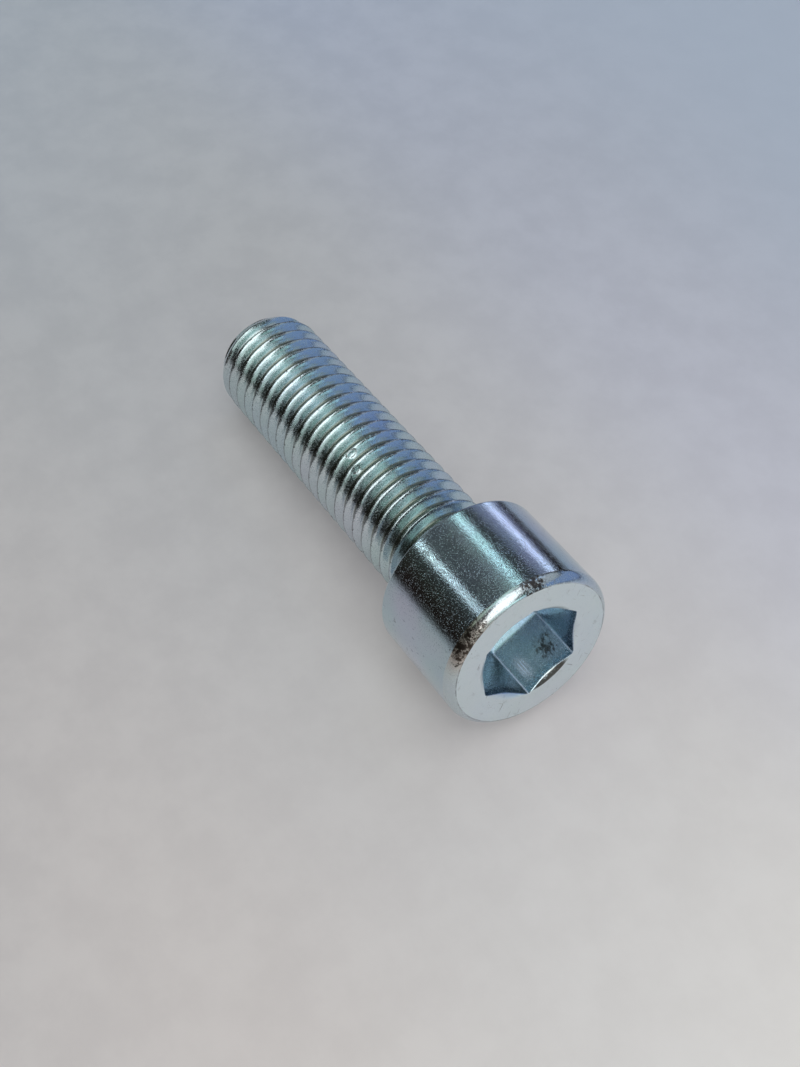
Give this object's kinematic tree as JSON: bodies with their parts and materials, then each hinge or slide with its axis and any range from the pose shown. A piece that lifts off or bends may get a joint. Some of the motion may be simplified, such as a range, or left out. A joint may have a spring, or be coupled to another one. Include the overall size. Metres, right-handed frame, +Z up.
{
  "type": "hex socket cap screw",
  "caption": "Cylinder-head cap screw with a hex socket and a coarse right-hand thread up to the head, zinc plated, lying on its side.",
  "frame": {"origin": "on the surface that the screw lies on, below the middle of its length", "axes": "+Z up; the screw's axis lies in the plane Y = 0, runs from the head at -X to the tip at +X and falls 4.46 degrees towards the tip; a corner of the socket points up, to within 2 degrees"},
  "size_m": [0.0528, 0.018, 0.0188],
  "materials": {
    "zinc_plated_steel": "bright zinc plated"
  },
  "bodies": {
    "root": {"cap_screw": "zinc_plated_steel"}
  },
  "joints": []
}
